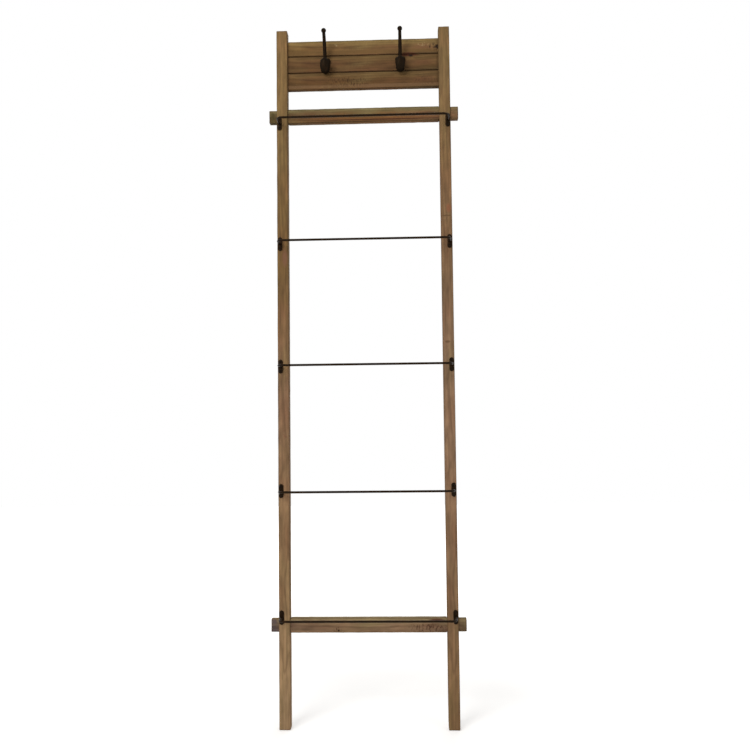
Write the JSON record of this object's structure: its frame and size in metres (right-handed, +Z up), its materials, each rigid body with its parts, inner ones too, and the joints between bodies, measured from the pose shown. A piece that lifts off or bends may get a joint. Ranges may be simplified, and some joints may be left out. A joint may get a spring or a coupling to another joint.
{
  "type": "towel rack",
  "caption": "Ladder towel rack that leans on a wall: wooden stiles and header, through-tenoned crossbars, bent iron rails and cast hooks.",
  "frame": {"origin": "on the floor, midway between the stiles and midway through the depth from the rails to the backs of the stiles", "axes": "+Z up along the stiles, +X to the right as seen from the front, and the front with the rails and hooks faces -Y"},
  "size_m": [0.502, 0.081, 1.827],
  "materials": {
    "stile_wood": "weathered softwood, brushed and oiled",
    "header_wood": "weathered softwood, dark stain",
    "crossbar_wood": "weathered softwood, mixed stain",
    "rail_iron": "blackened forged iron, waxed",
    "hook_iron": "black cast iron, satin",
    "fastener_steel": "blackened steel"
  },
  "bodies": {
    "root": {"left_stile": "stile_wood", "right_stile": "stile_wood", "header_plank_top": "header_wood", "header_plank_middle": "header_wood", "header_plank_bottom": "header_wood", "plank_brads": "fastener_steel", "upper_crossbar": "crossbar_wood", "lower_crossbar": "crossbar_wood", "towel_rail_1": "rail_iron", "towel_rail_2": "rail_iron", "towel_rail_3": "rail_iron", "towel_rail_4": "rail_iron", "towel_rail_5": "rail_iron", "towel_rail_1_screws": "fastener_steel", "towel_rail_2_screws": "fastener_steel", "towel_rail_3_screws": "fastener_steel", "towel_rail_4_screws": "fastener_steel", "towel_rail_5_screws": "fastener_steel", "left_hook": "hook_iron", "right_hook": "hook_iron", "left_hook_screws": "fastener_steel", "right_hook_screws": "fastener_steel"}
  },
  "joints": []
}
